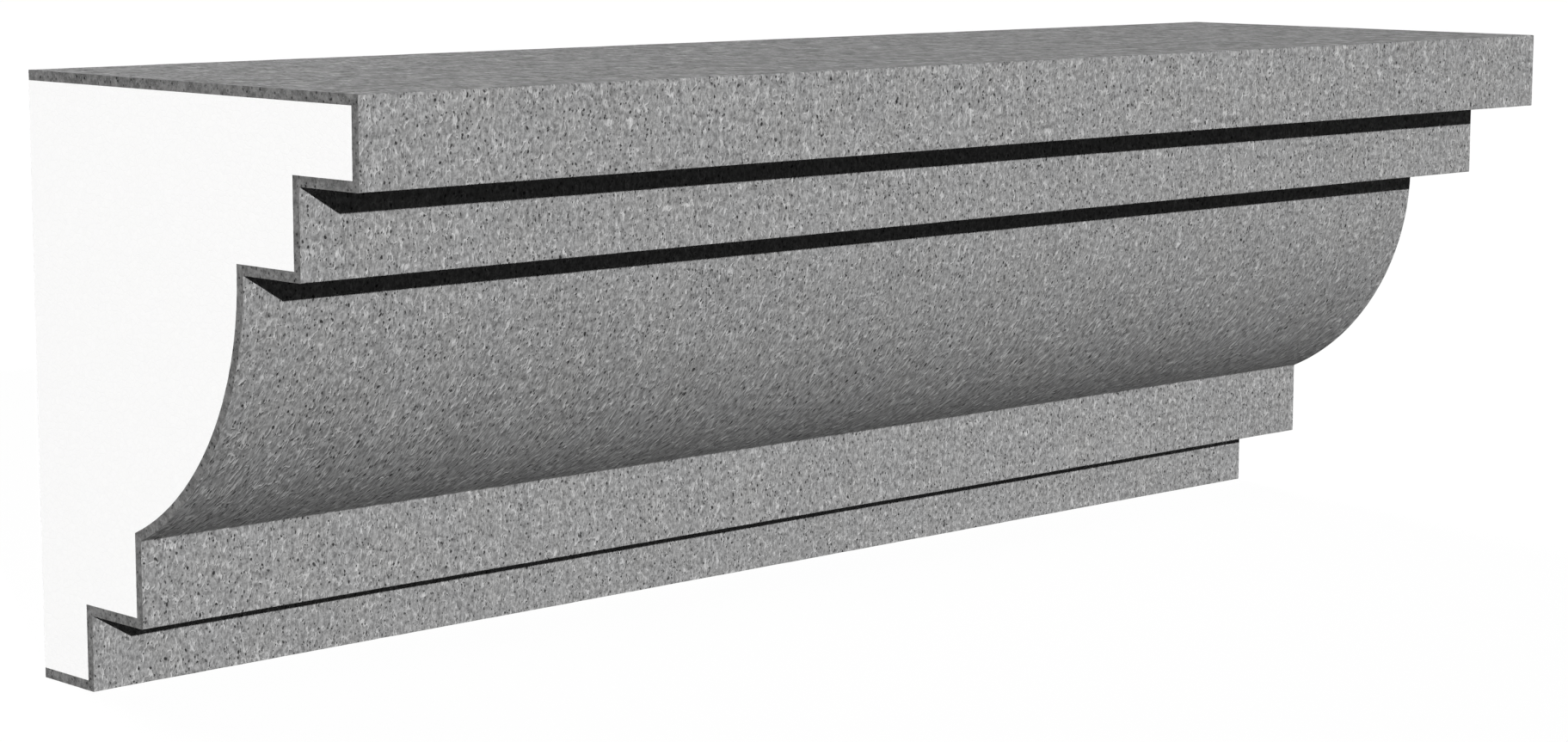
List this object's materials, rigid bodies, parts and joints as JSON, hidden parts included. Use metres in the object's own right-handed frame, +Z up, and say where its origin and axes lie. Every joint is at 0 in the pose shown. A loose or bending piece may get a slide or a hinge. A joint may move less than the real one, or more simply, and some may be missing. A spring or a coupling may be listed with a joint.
{
  "type": "cornice moulding",
  "caption": "Straight length of exterior cornice moulding: a stepped, convex profile in white foam with a thin sandy grey cement coat, a bare back and bare square-cut ends.",
  "frame": {"origin": "middle of the bare back face that goes on the wall: mid-length and mid-height", "axes": "+X along the length, +Y into the wall (the decorative front faces -Y), +Z up"},
  "size_m": [1.03, 0.306, 0.35],
  "materials": {
    "foam": "matte expanded polystyrene, hot-wire cut",
    "base_mortar": "fine polymer-cement mortar",
    "glass_mesh": "coated open-weave glass-fibre mesh",
    "finish_mortar": "sandy grey, fine pits and short streaks"
  },
  "bodies": {
    "root": {"foam_core": "foam", "base_coat": "base_mortar", "reinforcing_mesh": "glass_mesh", "finish_coat": "finish_mortar"}
  },
  "joints": []
}
